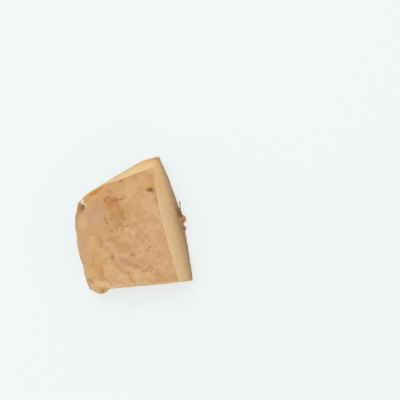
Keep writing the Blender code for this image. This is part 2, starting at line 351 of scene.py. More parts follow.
# Spots on the skin as it lies: colour, how much it covers, and then its middle, and its half-width and
# half-length, in the photograph's pixels.
SPOTS = {
    "brown ground of the scar": (BISTRE, 0.45, (113, 212), (13, 16)),
    "upper stain of the scar": (SCAR, 0.4, (111, 203), (9, 9)),
    "dark upper stain of the scar": (SCAR, 0.42, (110.5, 200.5), (5.5, 3.4)),
    "amber stain of the scar": (AMBER, 0.5, (120.3, 211), (2.8, 4.4)),
    "middle stain of the scar": (SCAR, 0.35, (116, 213), (4, 3)),
    "olive stain of the scar": (OLIVE, 0.4, (117, 220), (6.5, 8)),
    "pit": (PIT, 1.0, (149.0, 189.6), (3.6, 1.6)),
    "amber rim of the pit": (AMBER, 0.8, (149.8, 187.0), (2.8, 1.6)),
    "golden ground of the pit": (GOLD, 0.65, (145.5, 187.0), (3.6, 4.0)),
    "light tip of the apex": (CREAM, 0.6, (150, 169.6), (4.0, 1.8)),
    "grey-pink shoulder": (GREY_PINK, 0.75, (95, 216), (9, 12)),
    "brown shoulder": (BISTRE, 0.4, (98, 203), (12, 10)),
    "brown ground under the scar": (BISTRE, 0.35, (105, 232), (14, 6)),
    "light ground above the bud": (CREAM, 0.35, (112, 274), (12, 7)),
    "light ground at the front": (CREAM, 0.3, (128, 279), (10, 5)),
    "light left corner": (CREAM, 0.45, (82.5, 223), (3.6, 5.5)),
    "dot under the scar": (DOT, 0.8, (111.2, 231.3), (1.3, 0.9)),
    "amber dot by the scuff": (AMBER, 0.6, (105.3, 248.5), (1.5, 1.8)),
    "brown dot by the scuff": (UMBER, 0.5, (109, 251.5), (1.8, 1.3)),
    "dark dot by the scuff": (DOT, 0.85, (112.0, 257.3), (1.5, 2.1)),
    "brown edge of the dark dot": (UMBER, 0.5, (110.8, 258), (1.4, 1.2)),
    "lower dark dot by the scuff": (DOT, 0.8, (114.6, 260.9), (1.9, 1.4)),
    "brown dash by the scuff": (UMBER, 0.4, (103, 259.7), (2.2, 1.0)),
    "dot right of the scuff": (DOT, 0.55, (132.2, 254.8), (1.6, 1.3)),
    "brown dot right of the scuff": (UMBER, 0.35, (138.7, 251.4), (1.5, 1.3)),
    "brown dot of the cluster": (UMBER, 0.5, (142.4, 241.3), (1.3, 1.6)),
    "dark dot of the cluster": (DOT, 0.5, (145.0, 243.6), (1.1, 1.0)),
    "amber dot of the cluster": (AMBER, 0.45, (148.4, 240.8), (1.3, 1.2)),
    "lower amber dot of the cluster": (AMBER, 0.65, (149.2, 246.6), (1.1, 0.9)),
    "rusty dot of the cluster": (RUST, 0.4, (147, 250.8), (1.8, 2.2)),
    "upper dot of the cluster": (UMBER, 0.5, (147, 236.2), (1.5, 1.1)),
    "mauve dot left of the cluster": (MAUVE, 0.6, (137.2, 235.7), (1.4, 1.3)),
    "right brown dot": (UMBER, 0.35, (157.5, 253), (1.3, 1.1)),
    "upper right brown dot": (UMBER, 0.3, (157.3, 248.2), (1.2, 0.7)),
    "middle right brown dot": (UMBER, 0.3, (153.0, 253), (1.3, 1.2)),
    "olive dot under the pit": (OLIVE, 0.35, (147, 207), (1.8, 0.9)),
    "olive dot right of the scar": (OLIVE, 0.3, (139, 205), (2.2, 1.2)),
    "olive dot left of the pit": (OLIVE, 0.3, (142, 194.8), (2.0, 0.9)),
    "upper olive dot left of the pit": (OLIVE, 0.3, (138.5, 187.5), (1.5, 1.2)),
    "amber dot in the middle": (AMBER, 0.55, (132, 224.6), (1.5, 0.8)),
    "olive dot in the middle": (OLIVE, 0.3, (128.8, 237.5), (1.8, 1.3)),
    "olive dot on the scuff": (OLIVE, 0.4, (121.5, 257.5), (1.7, 1.1)),
    "pink stain on the left edge": (PINK, 0.45, (83, 243), (4.5, 8.5)),
    "golden stain on the left": (GOLD, 0.42, (96, 260), (8, 11)),
    "golden stain on the lower left": (GOLD, 0.45, (92, 269), (6, 6)),
    "light dot above the bud": (CREAM, 0.4, (108, 268), (4.5, 2.6)),
    "light ground of the bud": (CREAM, 0.95, (100.5, 286), (9, 6.5)),
    "orange dot on the bud": (ORANGE, 0.35, (101, 288.5), (3.4, 1.6)),
    "rusty tip of the bud": (RUST, 0.85, (101.6, 291.7), (1.3, 0.9)),
    "olive stain right of the scuff": (OLIVE, 0.3, (119, 248), (8, 5)),
}

# Spots lower down, in millimetres: colour, how much it covers, its middle with a height, and its radius.
SIDE_SPOTS = {
    # a brown patch at the left corner, darker in its middle
    "brown patch at the left corner": (CORNER_BROWN, 0.9, (-22.6, 7.4, 21.2), 2.4),
    "lower edge of the brown patch": (CORNER_BROWN_EDGE, 0.75, (-23.4, 4.2, 19.0), 2.6),
    "dark middle of the brown patch": (CORNER_BROWN_DARK, 0.95, (-21.8, 8.0, 22.8), 1.2),
    # root-brown stain with painted shade, low on the right edge of the flesh by the roots
    "stain and painted shade behind the roots": (ROOT_GREY_AND_SHADE, 0.8, (19.6, 8.6, 6.0), 2.0),
    "stain and painted shade above the upper stub": (ROOT_UMBER_AND_SHADE, 0.9, (20.5, 6.0, 5.0), 2.2),
    "stain on the upper stub": (ROOT_BROWN, 0.9, (20.6, 3.6, 4.0), 1.7),
    "stain on the lower stub": (ROOT_BUFF, 0.75, (21.0, -1.0, 4.0), 1.8),
    "upper end of the dried rim": (RIM_GOLD, 0.8, (-13.6, 17.4, 25.2), 1.1),
    "middle of the dried rim": (RIM_AMBER, 0.95, (-15.3, 16.3, 24.9), 1.2),
    "lower end of the dried rim": (RIM_GOLD, 0.85, (-17.0, 15.1, 24.5), 1.1),
}

# The same, on the bright, freshly cut flesh beside the apex. The brown in its low corner is painted shadow.
APEX_SPOTS = {
    "orange tip": (APEX_ORANGE, 0.95, (10.9, 25.2, 23.0), 4.4),
    "honey rim": (APEX_HONEY, 0.8, (12.4, 18.6, 23.6), 4.4),
    "tan left end": (APEX_TAN, 0.85, (-10.6, 19.6, 20.0), 3.0),
    "cream left half": (APEX_CREAM, 0.9, (1.0, 24.2, 20.0), 4.0),
    "buff right half": (APEX_BUFF, 0.85, (6.0, 26.6, 20.0), 3.8),
    "yellow foot": (APEX_LOW, 0.85, (6.5, 29.0, 14.0), 2.8),
    # painted shadow in the low corner by the apex
    "painted shadow in the corner": (APEX_SHADOW_BROWN, 0.85, (11.3, 30.0, 14.0), 2.4),
}

# Mottles of noise: the size of a grain in millimetres, its detail and roughness, the range of the noise over
# which the colour comes in, how much it covers, and the colour.
PLAIN_ROUGHNESS = 0.55
SKIN_PATCHES = {
    "yellow": (2.6, 2.0, PLAIN_ROUGHNESS, (0.52, 0.68), 0.6, SKIN_YELLOW),
    "pink": (2.6, 2.0, PLAIN_ROUGHNESS, (0.48, 0.34), 0.5, SKIN_PINK),
}
SKIN_STREAKS = {
    "dark": (1.1, 3.0, PLAIN_ROUGHNESS, (0.4, 0.7), 0.3, SKIN_DARK),
}
SKIN_SPECKLES = {
    "dark": (1.4, 2.0, 0.6, (0.5, 0.7), 0.6, SKIN_DARK),
    "light": (0.7, 3.0, 0.7, (0.45, 0.66), 0.4, SKIN_LIGHT),
}
FLESH_FIBRES = {
    "dark": (0.6, 3.0, PLAIN_ROUGHNESS, (0.5, 0.75), 0.35, FIBRE_DARK),
    "light": (0.9, 3.0, PLAIN_ROUGHNESS, (0.55, 0.75), 0.3, FIBRE_LIGHT),
}

# The skin's ground, and the layers over it: how much each covers, and its colour. A grain here is its size in
# millimetres and its detail.
SKIN_GROUND_GRAIN = (4.5, 3.0)
SKIN_GROUND_RANGE = (0.36, 0.64)
SKIN_GROUND_EVENED = 0.45
SIDE_LAYER = (0.45, SKIN_PINK)
PORE_LAYER = (0.5, SPECK)
PORES_APART = 2.1
PORE_EDGE = (0.06, 0.17)
PORE_RARE = (0.55, 0.8)
FRINGE_LAYER = (0.5, FRINGE)
CREASE_LAYER = (0.75, RING_BROWN)
ROOT_LAYER_MOST = 0.95
KNOT_GRAIN = (1.0, 2.0)
KNOT_RANGE = (0.4, 0.6)

# The flesh's ground, and the layers over it. Heights are over the floor, and depths are in from the skin.
FLESH_GROUND_GRAIN = (4.0, 3.0)
FLESH_GROUND_RANGE = (0.4, 0.65)
# painted highlight: the cut flesh turns cream towards the top
HIGHLIGHT_CREAM_LAYER = (0.8, FLESH_CREAM)
HIGHLIGHT_CREAM_HEIGHTS = (12 * MM, 26 * MM)
# painted shade, with some drying: the cut flesh turns browner low down
LOW_SHADE_AND_DRYING_LAYER = (0.6, FLESH_SHADED_AND_DRIED)
LOW_SHADE_AND_DRYING_HEIGHTS = (15 * MM, 2 * MM)
RIND_LAYER = (0.6, FLESH_CREAM)
RIND_DEPTHS = (1.0, 2.8)
RIND_LINE_LAYER = (0.5, FIBRE_DARK)
RIND_LINE_HALF = 0.28
CORE_LAYER = (0.4, FLESH_CORE)
CORE_DEPTHS = (3.0, 5.0)
CORE_GRAIN = 3.0
CORE_RAGGED = 1.5
# painted shade, with some drying: the right cut's flesh browns low down
AGED_AND_SHADED_LOW_LAYER = (0.75, FLESH_AGED_AND_SHADED)
AGED_AND_SHADED_LOW_HEIGHTS = (18 * MM, 3 * MM)
# painted shade along the right cut's low rim, next to the skin
SHADED_RIM_LAYER = (0.7, FLESH_AGED_AND_SHADED)
SHADED_RIM_DEPTHS = (5.0, 0.5)
SHADED_RIM_HEIGHTS = (20 * MM, 14 * MM)
BUNDLE_LAYER = (0.6, FIBRE_DARK)
BUNDLES_APART = 1.5
BUNDLE_EDGE = (0.08, 0.24)
BUNDLE_DEPTHS = (1.0, 2.2)
PEACH_LAYER = (0.7, FLESH_PEACH)
PEACH_DEPTHS = (0.2, 1.6)

# How skin and flesh meet, how the marks break up, and the shader's gloss, bump and glow under the surface.
FIBRE_STRETCH = 6.0
KNIFE_EDGE_GRAIN = (1.2, 3.0)
KNIFE_EDGE_RAGGED = 0.6
KNIFE_EDGE_DEPTHS = (-0.1, 0.6)
NOISE_MIDDLE = 0.5
BREAKUP_GRAIN = (0.8, 3.0, 0.65)
BREAKUP_RANGE = (0.3, 0.7)
BREAKUP_SHARES = (0.6, 1.4)
DULL_GRAIN = (2.5, 3.0)
DULL_RANGE = (0.3, 0.7)
SKIN_ROUGHNESS = 0.58
DULL_MORE = 0.16
FLESH_LESS = 0.08
SPECULAR = 0.3
SUBSURFACE = 0.12
SUBSURFACE_RADIUS = (1.0, 0.55, 0.25)
SUBSURFACE_SCALE = 1.2 * MM
FINE_GRAIN = (0.55, 4.0, 0.65)
LONG_GRAIN = (0.5, 3.0)
LONG_SHARE = 0.8
BUMP_STRENGTH = 0.6
BUMP_HEIGHT = 0.14 * MM


def growth_place(points):
    """How far along the growth axis each point is, with the rings' wander."""
    return np.array([p.dot(GROWTH_AXIS) + RING_WANDER * noise.noise(p / RING_WANDER_APART) for p in points])


def noise_at(points, along, across, offset=0.0):
    """Noise whose grains are this long along the growth axis, and this wide across it."""
    shift = Vector((offset, -offset, 2 * offset))
    return np.array([
        noise.noise(Vector((p.dot(GROWTH_AXIS) / along, p.dot(ACROSS_AXIS) / across, p.z / across)) + shift)
        for p in points
    ])


def smoothstep(low, high, values):
    """0 at low and 1 at high, smooth between, and level beyond them."""
    share = np.clip((values - low) / (high - low), 0.0, 1.0)
    return share * share * (3 - 2 * share)


def bell(values):
    """1 at zero, falling off smoothly on both sides."""
    return np.exp(-(values**2))


def on_skin(pixel):
    """The place of a pixel on the top of the skin, to a tenth of a millimetre."""
    column, row = pixel
    x = MIDDLE_PLACE[0] + (column - MIDDLE_PIXEL) * PIXEL
    y = MIDDLE_PLACE[1] - (row - MIDDLE_PIXEL) * PIXEL
    return round(x, 1), round(y, 1)


def span_on_skin(pixels):
    """A number of pixels on the top of the skin, to a tenth of a millimetre."""
    return round(pixels * PIXEL, 1)


def path_distance(flat, path):
    """How far each point of the ground plan is from a path on it."""
    nearest = np.full(len(flat), np.inf)
    for start, end in zip(path, path[1:]):
        start, end = np.array(start), np.array(end)
        share = np.clip((flat - start) @ (end - start) / ((end - start) @ (end - start)), 0, 1)
        nearest = np.minimum(nearest, np.linalg.norm(flat - start - share[:, None] * (end - start), axis=1))
    return nearest


def mesh_arrays(mesh):
    """Corner positions in millimetres, and triangles."""
    mesh.calc_loop_triangles()
    co = np.empty(len(mesh.vertices) * 3)
    mesh.vertices.foreach_get("co", co)
    triangles = np.empty(len(mesh.loop_triangles) * 3, dtype=np.int32)
    mesh.loop_triangles.foreach_get("vertices", triangles)
    return co.reshape(-1, 3) / MM, triangles.reshape(-1, 3)


def mesh_edges(mesh):
    """The two ends of each edge."""
    edges = np.empty(len(mesh.edges) * 2, dtype=np.int32)
    mesh.edges.foreach_get("vertices", edges)
    return edges.reshape(-1, 2)


def mesh_normals(mesh):
    """The way that each vertex faces."""
    normals = np.empty(len(mesh.vertices) * 3)
    mesh.vertex_normals.foreach_get("vector", normals)
    return normals.reshape(-1, 3)


def place_vertices(mesh, co):
    """Moves the vertices to these places in millimetres."""
    mesh.vertices.foreach_set("co", (co * MM).ravel())
    mesh.update()


def cut_triangles(co, triangles):
    """True for each triangle that lies in the flat face of a knife cut."""
    a, b, c = (co[triangles[:, i]] for i in range(3))
    normals = np.cross(b - a, c - a)
    areas = np.linalg.norm(normals, axis=1)
    normals /= np.maximum(areas, LEAST_AREA)[:, None]
    is_cut = np.zeros(len(triangles), dtype=bool)
    for facing in CUT_FACINGS:
        facing = np.array(facing) / np.linalg.norm(facing)
        offsets = ((a + b + c) / 3) @ facing
        weight = areas * (normals @ facing > CUT_AGREES)
        flat = np.average(offsets, weights=weight)
        flat = np.average(offsets, weights=weight * (abs(offsets - flat) < CUT_WITHIN * CUT_SEARCHED))
        in_plane = (abs(np.stack((a, b, c)) @ facing - flat) < CUT_WITHIN).all(axis=0)
        is_cut |= in_plane & (normals @ facing > CUT_LEANS)
    return is_cut


def fine_copy(solid):
    """A copy of the solid in small even quads."""
    piece = bpy.data.objects.new("ginger_chunk", solid.data.copy())
    bpy.context.scene.collection.objects.link(piece)
    weld = piece.modifiers.new("weld", "WELD")
    weld.merge_threshold = WELD * MM
    remesh = piece.modifiers.new("remesh", "REMESH")
    remesh.mode = "VOXEL"
    remesh.voxel_size = VOXEL * MM
    bpy.context.view_layer.update()
    mesh = bpy.data.meshes.new_from_object(piece.evaluated_get(bpy.context.evaluated_depsgraph_get()))
    piece.modifiers.clear()
    piece.data = mesh
    mesh.name = "ginger_chunk"
    return piece


def nearest_distance(tree, co):
    """How far each point is from a surface."""
    return np.array([tree.find_nearest(Vector(p))[3] for p in co])


def smoothed(co, edges, movable):
    """Takes the facets of the solid off, where the surface may move."""
    count = np.bincount(edges.ravel(), minlength=len(co))[:, None]
    for _ in range(SMOOTH_ROUNDS):
        total = np.zeros_like(co)
        for axis in range(3):
            total[:, axis] += np.bincount(edges[:, 0], co[edges[:, 1], axis], len(co))
            total[:, axis] += np.bincount(edges[:, 1], co[edges[:, 0], axis], len(co))
        co = co + (total / count - co) * (SMOOTH_SHARE * movable)[:, None]
    return co


def root_share(co):
    """1 on the root stubs, 0 away from them."""
    share = np.zeros(len(co))
    for x, y, z, radius in ROOT_STUBS:
        away = np.linalg.norm(co - (x, y, z), axis=1)
        share = np.maximum(share, 1 - smoothstep(radius, radius + ROOT_FADE, away))
    return share


def ring_masks(co, points, top):
    """The dark crease of each leaf-scar ring, and the papery fringe that overhangs it."""
    place = growth_place(points) + FINE_WANDER * noise_at(points, *FINE_WANDER_GRAIN)
    broken = np.clip(RING_WHOLE + RING_BROKEN * noise_at(points, *RING_BROKEN_GRAIN), 0, 1)
    crease, fringe = np.zeros(len(co)), np.zeros(len(co))
    for ring, strength in RINGS:
        away = place - ring
        crease += strength * sum(share * bell((away - beside) / width) for share, beside, width in RING_LINES)
        fringe += strength * smoothstep(*FRINGE_RISES, away) * (1 - smoothstep(*FRINGE_ENDS, away))
    worn = broken * (1 - RING_WORN_ON_TOP * top)
    return np.clip(crease * worn + bud_creases(co, points, top), 0, 1), np.clip(fringe * worn, 0, 1)


def bud_creases(co, points, top):
    """The edges of the bud's scales, as creases round its axis."""
    axis = (BUD_TIP - BUD_ROOT) / np.linalg.norm(BUD_TIP - BUD_ROOT)
    wander = BUD_WANDER * noise_at(points, *BUD_WANDER_GRAIN)
    across = np.linalg.norm(np.cross(co - BUD_ROOT, axis), axis=1) + wander
    broken = np.clip(BUD_WHOLE + BUD_BROKEN * noise_at(points, *BUD_BROKEN_GRAIN), 0, 1)
    lines = broken * sum(bell((across - radius) / width) for radius, width in BUD_CREASES)
    on_bud = smoothstep(BUD_STARTS, BUD_STARTS - BUD_FADE, co[:, 1]) * (co[:, 0] < BUD_RIGHT)
    return BUD_CREASE_SHARE * lines * (1 - BUD_WORN_ON_TOP * top) * on_bud


def wavering(points, offset):
    """Noise that makes the edge of a mark waver, coarsely and finely."""
    coarse = noise_at(points, WAVER_SIZE, WAVER_SIZE, offset)
    return coarse + FINE_WAVER * noise_at(points, FINE_WAVER_SIZE, FINE_WAVER_SIZE, offset)


def painted(co, points, normals, in_flesh):
    """The marks laid over each other: their colour, and how much of the surface they cover."""
    colour, cover = np.zeros((len(co), 3)), np.zeros(len(co))
    swell = 1 + SWELL * noise_at(points, *SWELL_GRAIN)
    wobble = np.stack([wavering(points, offset) for offset in WAVER_OFFSETS], 1)
    flat = co[:, :2] + FLAT_WAVER * wobble
    skin_top = smoothstep(*FACES_UP, normals[:, 2]) * (1 - in_flesh)

    def lay(tint, share):
        """Lays one mark over what is there."""
        nonlocal colour, cover
        share = np.clip(share, 0, 1)
        colour = colour * (1 - share)[:, None] + np.array(tint[:3]) * share[:, None]
        cover = cover * (1 - share) + share

    for tint, most, middle, half in SPOTS.values():
        spans = [span_on_skin(pixels) for pixels in half]
        away = np.linalg.norm((flat - on_skin(middle)) / spans, axis=1)
        lay(tint, skin_top * most * (1 - smoothstep(*SPOT_FADES, away)))
    for tint, most, half, path in STROKES.values():
        away = path_distance(flat, [on_skin(pixel) for pixel in path]) / (span_on_skin(half) * swell)
        lay(tint, skin_top * most * (1 - smoothstep(*STROKE_FADES, away)))
    for tint, most, middle, radius in SIDE_SPOTS.values():
        away = np.linalg.norm(co + SIDE_WAVER * wobble[:, :1] - middle, axis=1) / radius
        lay(tint, most * (1 - smoothstep(*SIDE_FADES, away)))
    even, uneven = APEX_PATCHY
    patchy = even + uneven * noise_at(points, *APEX_PATCHY_GRAIN)
    for tint, most, middle, radius in APEX_SPOTS.values():
        away = np.linalg.norm(co + APEX_WAVER * wobble[:, :1] - middle, axis=1) / radius
        lay(tint, in_flesh * most * patchy * (1 - smoothstep(*APEX_FADES, away)))
    colour /= np.maximum(cover, LEAST_COVER)[:, None]
    return np.concatenate([colour, cover[:, None]], axis=1)


def skin_relief(co, points, masks, paint):
    """How far the skin stands out, in millimetres."""
    relief = -WRINKLE_DEPTH * (1 - abs(noise_at(points, *WRINKLE_GRAIN))) ** WRINKLE_SHARPNESS
    relief -= CRACK_DEPTH * (1 - abs(noise_at(points, *CRACK_GRAIN))) ** CRACK_SHARPNESS
    relief += LUMP_HEIGHT * noise_at(points, *LUMP_GRAIN) + PIMPLE_HEIGHT * noise_at(points, *PIMPLE_GRAIN)
    relief += FRINGE_HEIGHT * masks["fringe"] - CREASE_DEPTH * masks["crease"]
    relief += ROOT_KNOTS * masks["roots"] * noise_at(points, *ROOT_KNOT_GRAIN)
    light = paint[:, :3].sum(axis=1)
    sunk = paint[:, 3] * smoothstep(*DARK_MARKS, light)
    raised = paint[:, 3] * smoothstep(*LIGHT_MARKS, light)
    relief += RAISED_HEIGHT * raised - SUNK_DEPTH * sunk
    pit = np.linalg.norm((co[:, :2] - PIT_MIDDLE) / PIT_HALF, axis=1)
    return relief - PIT_DEPTH * bell(pit) * (co[:, 2] > PIT_ABOVE)


def flesh_relief(points, depth):
    """How far the cut flesh stands out: it has sunk a little inside its rim, and its fibres stand proud."""
    relief = -FLESH_SINKS * smoothstep(*FLESH_SINKS_WITHIN, depth)
    relief += FIBRE_HEIGHT * noise_at(points, *FIBRE_GRAIN) + WAVE_HEIGHT * noise_at(points, *WAVE_GRAIN)
    relief -= RIND_GROOVE * bell((depth - RIND_LINE_AT) / RIND_GROOVE_HALF)
    return relief


def fitted(mesh, solid):
    """The fine mesh's points, fitted to the solid and smoothed, with their depth in a cut and root share."""
    solid_co, solid_triangles = mesh_arrays(solid.data)
    is_cut = cut_triangles(solid_co, solid_triangles)
    corners = [tuple(p) for p in solid_co]
    whole = BVHTree.FromPolygons(corners, solid_triangles.tolist())
    skin_tree = BVHTree.FromPolygons(corners, solid_triangles[~is_cut].tolist())
    cut_tree = BVHTree.FromPolygons(corners, solid_triangles[is_cut].tolist())

    co, _ = mesh_arrays(mesh)
    found = [whole.find_nearest(Vector(p)) for p in co]
    co = np.array([hit[0] for hit in found])
    on_cut = is_cut[[hit[2] for hit in found]]
    depth = np.where(on_cut, nearest_distance(skin_tree, co), -nearest_distance(cut_tree, co))
    roots = root_share(co + GROWN_SHIFT)
    movable = EDGE_SMOOTHING + (1 - EDGE_SMOOTHING) * smoothstep(*EDGE_KEPT, abs(depth))
    movable *= smoothstep(*LIFTED, co[:, 2]) * (1 - (1 - ROOT_SMOOTHING) * roots)
    return smoothed(co, mesh_edges(mesh), movable), depth, roots


def store_masks(mesh, masks, paint):
    """Stores on the mesh what its material reads."""
    for name, values in masks.items():
        mesh.attributes.new(name, "FLOAT", "POINT").data.foreach_set("value", values.astype(np.float32))
    colours = mesh.attributes.new("paint", "FLOAT_COLOR", "POINT").data
    colours.foreach_set("color", paint.astype(np.float32).ravel())


def grow_detail(piece, solid):
    """Fits the fine mesh to the solid, raises its relief and stores the masks that its material reads."""
    mesh = piece.data
    co, depth, roots = fitted(mesh, solid)
    place_vertices(mesh, co)
    normals = mesh_normals(mesh)
    grown = co + GROWN_SHIFT
    points = [Vector(p) for p in grown]
    crease, fringe = ring_masks(grown, points, smoothstep(*IS_TOP, normals[:, 2]))
    in_flesh = smoothstep(*FLESH_STARTS, depth)
    masks = {"cut_depth": depth, "crease": crease, "fringe": fringe, "roots": roots}
    masks["side_band"] = smoothstep(*FACES_LEFT, -normals[:, 0])
    # picks out the right cut's flesh, which gets painted shade with some drying low down
    masks["aged_and_shaded"] = in_flesh * smoothstep(*IS_RIGHT_CUT, normals @ np.array(RIGHT_CUT))
    paint = painted(grown, points, normals, in_flesh)
    skin = (1 - in_flesh) * skin_relief(grown, points, masks, paint)
    relief = (skin + in_flesh * flesh_relief(points, depth)) * smoothstep(*RELIEF_STARTS, co[:, 2])
    co = co + normals * relief[:, None]
    co[:, 2] = np.maximum(co[:, 2], 0.0)
    mesh.polygons.foreach_set("use_smooth", [True] * len(mesh.polygons))
    place_vertices(mesh, co)
    store_masks(mesh, masks, paint)


def add_node(tree, kind, inputs=None, **settings):
    """A shader node, with its settings, and its inputs linked or set."""
    made = tree.nodes.new(kind)
    for name, value in settings.items():
        setattr(made, name, value)
    for socket, value in (inputs or {}).items():
        if isinstance(value, bpy.types.NodeSocket):
            tree.links.new(value, made.inputs[socket])
        else:
            made.inputs[socket].default_value = value
    return made


def maths(tree, operation, a, b=0.0):
    """A sum of two values, or another operation on them."""
    return add_node(tree, "ShaderNodeMath", {0: a, 1: b}, operation=operation).outputs[0]


def times(tree, a, b):
    """The product of two values."""
    return maths(tree, "MULTIPLY", a, b)


def ramp(tree, value, low, high):
    """0 below low and 1 above high, smooth between."""
    inputs = {"Value": value, "From Min": low, "From Max": high}
    return add_node(tree, "ShaderNodeMapRange", inputs, interpolation_type="SMOOTHSTEP").outputs[0]


def below(tree, value, low, high):
    """1 below low and 0 above high, smooth between."""
    return maths(tree, "SUBTRACT", 1.0, ramp(tree, value, low, high))


def mixed(tree, share, a, b):
    """The first colour where share is 0, and the second where it is 1."""
    return add_node(tree, "ShaderNodeMix", {0: share, 6: a, 7: b}, data_type="RGBA").outputs[2]


def tinted(tree, colour, share, most, tint):
    """A colour with another laid over it, where share is 1, as far as most."""
    return mixed(tree, times(tree, share, most), colour, tint)


def mask(tree, name):
    """A value stored on the mesh."""
    return add_node(tree, "ShaderNodeAttribute", attribute_name=name).outputs["Fac"]


def grain(tree, coordinates, apart_mm, detail=2.0, roughness=PLAIN_ROUGHNESS):
    """Noise with grains of this size."""
    inputs = {"Vector": coordinates, "Scale": 1 / (apart_mm * MM), "Detail": detail, "Roughness": roughness}
    return add_node(tree, "ShaderNodeTexNoise", inputs).outputs["Fac"]


def cells(tree, coordinates, apart_mm):
    """Scattered cells this far apart."""
    inputs = {"Vector": coordinates, "Scale": 1 / (apart_mm * MM), "Randomness": 1.0}
    return add_node(tree, "ShaderNodeTexVoronoi", inputs)


def mottled(tree, colour, coordinates, mottles):
    """A colour with mottles of noise laid over it, one after another."""
    for size, detail, roughness, noise_range, most, tint in mottles.values():
        share = ramp(tree, grain(tree, coordinates, size, detail, roughness), *noise_range)
        colour = tinted(tree, colour, share, most, tint)
    return colour


def along_growth(tree, coordinates, stretch):
    """Coordinates with X along the growth axis, squeezed so that grains are longer along it."""
    turn = {"Vector": coordinates, "Angle": -math.atan2(GROWTH_AXIS.y, GROWTH_AXIS.x)}
    turned = add_node(tree, "ShaderNodeVectorRotate", turn, rotation_type="Z_AXIS")
    scaled = {0: turned.outputs[0], 1: (1 / stretch, 1.0, 1.0)}
    return add_node(tree, "ShaderNodeVectorMath", scaled, operation="MULTIPLY").outputs[0]


def skin_colour(tree, place, grown_place):
    """Mottled tan with pink and yellow patches, streaks, pores and rings."""
    ground = ramp(tree, grain(tree, place, *SKIN_GROUND_GRAIN), *SKIN_GROUND_RANGE)
    colour = mixed(tree, ground, SKIN_DARK, SKIN_LIGHT)
    colour = mixed(tree, SKIN_GROUND_EVENED, colour, SKIN_TAN)
    colour = mottled(tree, colour, place, SKIN_PATCHES)
    colour = tinted(tree, colour, mask(tree, "side_band"), *SIDE_LAYER)
    colour = mottled(tree, colour, grown_place, SKIN_STREAKS)
    colour = mottled(tree, colour, place, SKIN_SPECKLES)
    pores = cells(tree, place, PORES_APART)
    pore = below(tree, pores.outputs["Distance"], *PORE_EDGE)
    drawn = add_node(tree, "ShaderNodeSeparateColor", {0: pores.outputs["Color"]}).outputs[0]
    colour = tinted(tree, colour, times(tree, pore, ramp(tree, drawn, *PORE_RARE)), *PORE_LAYER)
    colour = tinted(tree, colour, mask(tree, "fringe"), *FRINGE_LAYER)
    colour = tinted(tree, colour, mask(tree, "crease"), *CREASE_LAYER)
    knots = ramp(tree, grain(tree, place, *KNOT_GRAIN), *KNOT_RANGE)
    return tinted(tree, colour, mask(tree, "roots"), ROOT_LAYER_MOST, mixed(tree, knots, ROOT_DARK, ROOT_TAN))


def flesh_ground(tree, place, depth, height):
    """Yellow inside, cream high up from painted highlight and browner low down from painted shade and some
    drying, with a thin line inside the rind.
    """
    ground = ramp(tree, grain(tree, place, *FLESH_GROUND_GRAIN), *FLESH_GROUND_RANGE)
    colour = mixed(tree, ground, FLESH_YELLOW, FLESH_DEEP)
    colour = tinted(tree, colour, ramp(tree, height, *HIGHLIGHT_CREAM_HEIGHTS), *HIGHLIGHT_CREAM_LAYER)
    colour = tinted(tree, colour, ramp(tree, height, *LOW_SHADE_AND_DRYING_HEIGHTS), *LOW_SHADE_AND_DRYING_LAYER)
    colour = tinted(tree, colour, below(tree, depth, *RIND_DEPTHS), *RIND_LAYER)
    line_place = {0: depth, 1: RIND_LINE_AT, 2: RIND_LINE_HALF}
    line = add_node(tree, "ShaderNodeMath", line_place, operation="COMPARE").outputs[0]
    speckle = grain(tree, place, CORE_GRAIN)
    colour = tinted(tree, colour, times(tree, line, speckle), *RIND_LINE_LAYER)
    ragged_depth = maths(tree, "ADD", depth, times(tree, speckle, CORE_RAGGED))
    return tinted(tree, colour, ramp(tree, ragged_depth, *CORE_DEPTHS), *CORE_LAYER)


def flesh_colour(tree, place, grown_place, depth, height):
    """The ground of the flesh, browned low on the right cut by painted shade and some drying, with fibres and
    a peach edge.
    """
    colour = flesh_ground(tree, place, depth, height)
    aged_and_shaded = mask(tree, "aged_and_shaded")
    aged_and_shaded_low = times(tree, aged_and_shaded, ramp(tree, height, *AGED_AND_SHADED_LOW_HEIGHTS))
    low_rim = times(tree, ramp(tree, depth, *SHADED_RIM_DEPTHS), ramp(tree, height, *SHADED_RIM_HEIGHTS))
    shaded_rim = times(tree, aged_and_shaded, low_rim)
    # painted shade with some drying low on the right cut, and painted shade along its low rim
    colour = tinted(tree, colour, aged_and_shaded_low, *AGED_AND_SHADED_LOW_LAYER)
    colour = tinted(tree, colour, shaded_rim, *SHADED_RIM_LAYER)
    bundle = below(tree, cells(tree, grown_place, BUNDLES_APART).outputs["Distance"], *BUNDLE_EDGE)
    inner = ramp(tree, depth, *BUNDLE_DEPTHS)
    colour = tinted(tree, colour, times(tree, bundle, inner), *BUNDLE_LAYER)
    colour = mottled(tree, colour, grown_place, FLESH_FIBRES)
    # the peach edge is left off the painted shade at the low rim
    fresh = maths(tree, "SUBTRACT", 1.0, shaded_rim)
    peach = times(tree, below(tree, depth, *PEACH_DEPTHS), fresh)
    return tinted(tree, colour, peach, *PEACH_LAYER)


def marked(tree, place, colour):
    """A colour with the painted marks over it, broken up finely."""
    paint = add_node(tree, "ShaderNodeAttribute", attribute_name="paint")
    breakup_inputs = {
        "Value": grain(tree, place, *BREAKUP_GRAIN),
        "From Min": BREAKUP_RANGE[0],
        "From Max": BREAKUP_RANGE[1],
        "To Min": BREAKUP_SHARES[0],
        "To Max": BREAKUP_SHARES[1],
    }
    breakup = add_node(tree, "ShaderNodeMapRange", breakup_inputs).outputs[0]
    shares = {0: paint.outputs["Alpha"], 1: breakup}
    cover = add_node(tree, "ShaderNodeMath", shares, operation="MULTIPLY", use_clamp=True)
    return mixed(tree, cover.outputs[0], colour, paint.outputs["Color"])


